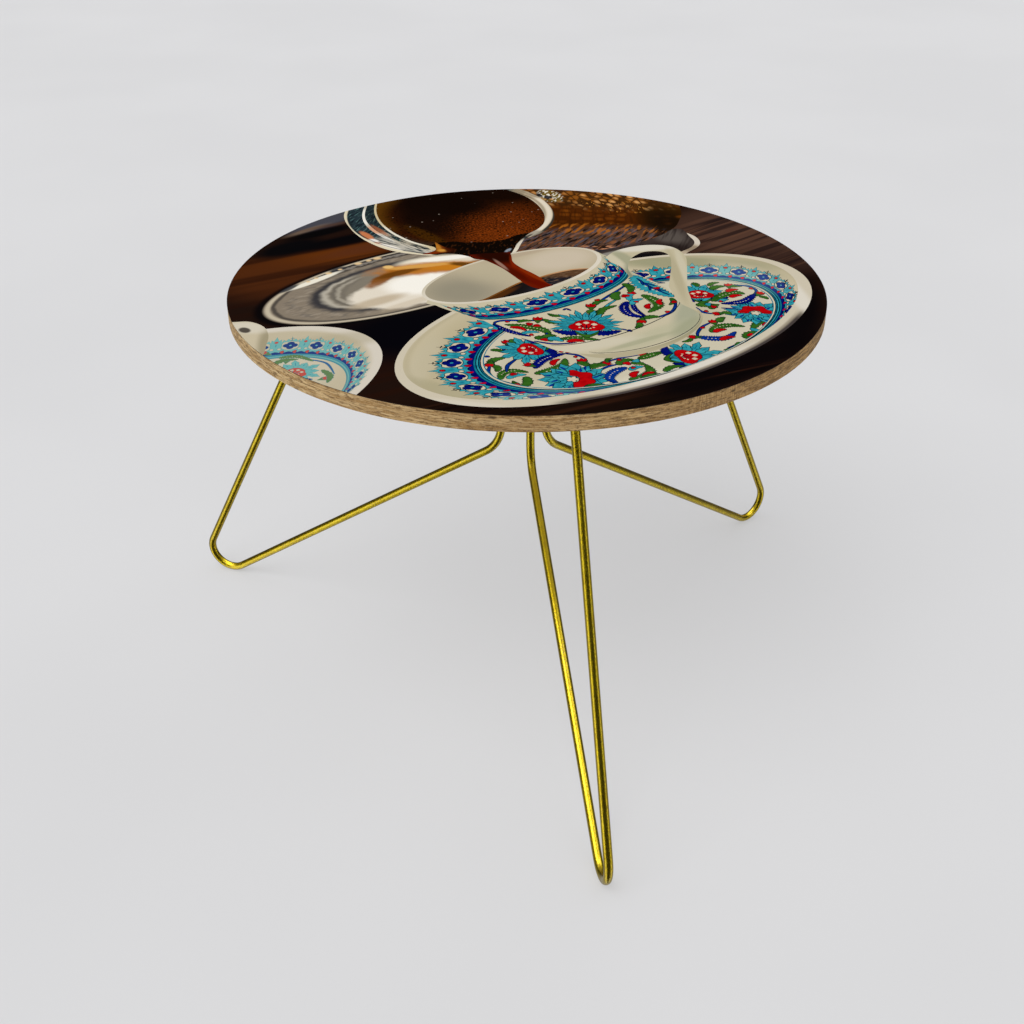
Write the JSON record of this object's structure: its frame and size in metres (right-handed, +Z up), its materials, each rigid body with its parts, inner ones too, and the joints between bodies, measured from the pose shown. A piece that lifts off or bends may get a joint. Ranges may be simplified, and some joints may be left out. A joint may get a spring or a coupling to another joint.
{
  "type": "round side table",
  "caption": "Low round side table with a pictorial printed top, an oak-look edge and splayed bent-rod legs with a gold finish.",
  "frame": {"origin": "on the floor, under the centre of the round top", "axes": "+Z is up, along the axis of the round top; the front leg points along -Y, the right leg towards +X and +Y, the left leg towards -X and +Y"},
  "size_m": [0.7338, 0.723, 0.44],
  "materials": {
    "decor_print": "printed decor sheet, sealed, satin",
    "laminate_core": "dark laminate, seen only at its edge",
    "chipboard": "raw chipboard",
    "backing_foil": "plain balancing foil, matt",
    "oak_edge": "oak-look edge band, satin",
    "leg_gold": "bent steel rod with a glossy gold finish",
    "plate_gold": "flat steel bar with the same gold finish",
    "weld_gold": "weld bead under the gold finish",
    "screw_steel": "zinc plated"
  },
  "bodies": {
    "root": {"front_leg_rod": "leg_gold", "front_leg_plate": "plate_gold", "front_leg_welds": "weld_gold", "front_leg_screw_1": "screw_steel", "front_leg_screw_2": "screw_steel", "front_leg_screw_3": "screw_steel", "front_leg_screw_4": "screw_steel", "left_leg_rod": "leg_gold", "left_leg_plate": "plate_gold", "left_leg_welds": "weld_gold", "left_leg_screw_1": "screw_steel", "left_leg_screw_2": "screw_steel", "left_leg_screw_3": "screw_steel", "left_leg_screw_4": "screw_steel", "right_leg_rod": "leg_gold", "right_leg_plate": "plate_gold", "right_leg_welds": "weld_gold", "right_leg_screw_1": "screw_steel", "right_leg_screw_2": "screw_steel", "right_leg_screw_3": "screw_steel", "right_leg_screw_4": "screw_steel", "top_decor_print": "decor_print", "top_laminate_core": "laminate_core", "top_core_board": "chipboard", "top_backing_foil": "backing_foil", "top_edge_band": "oak_edge"}
  },
  "joints": []
}
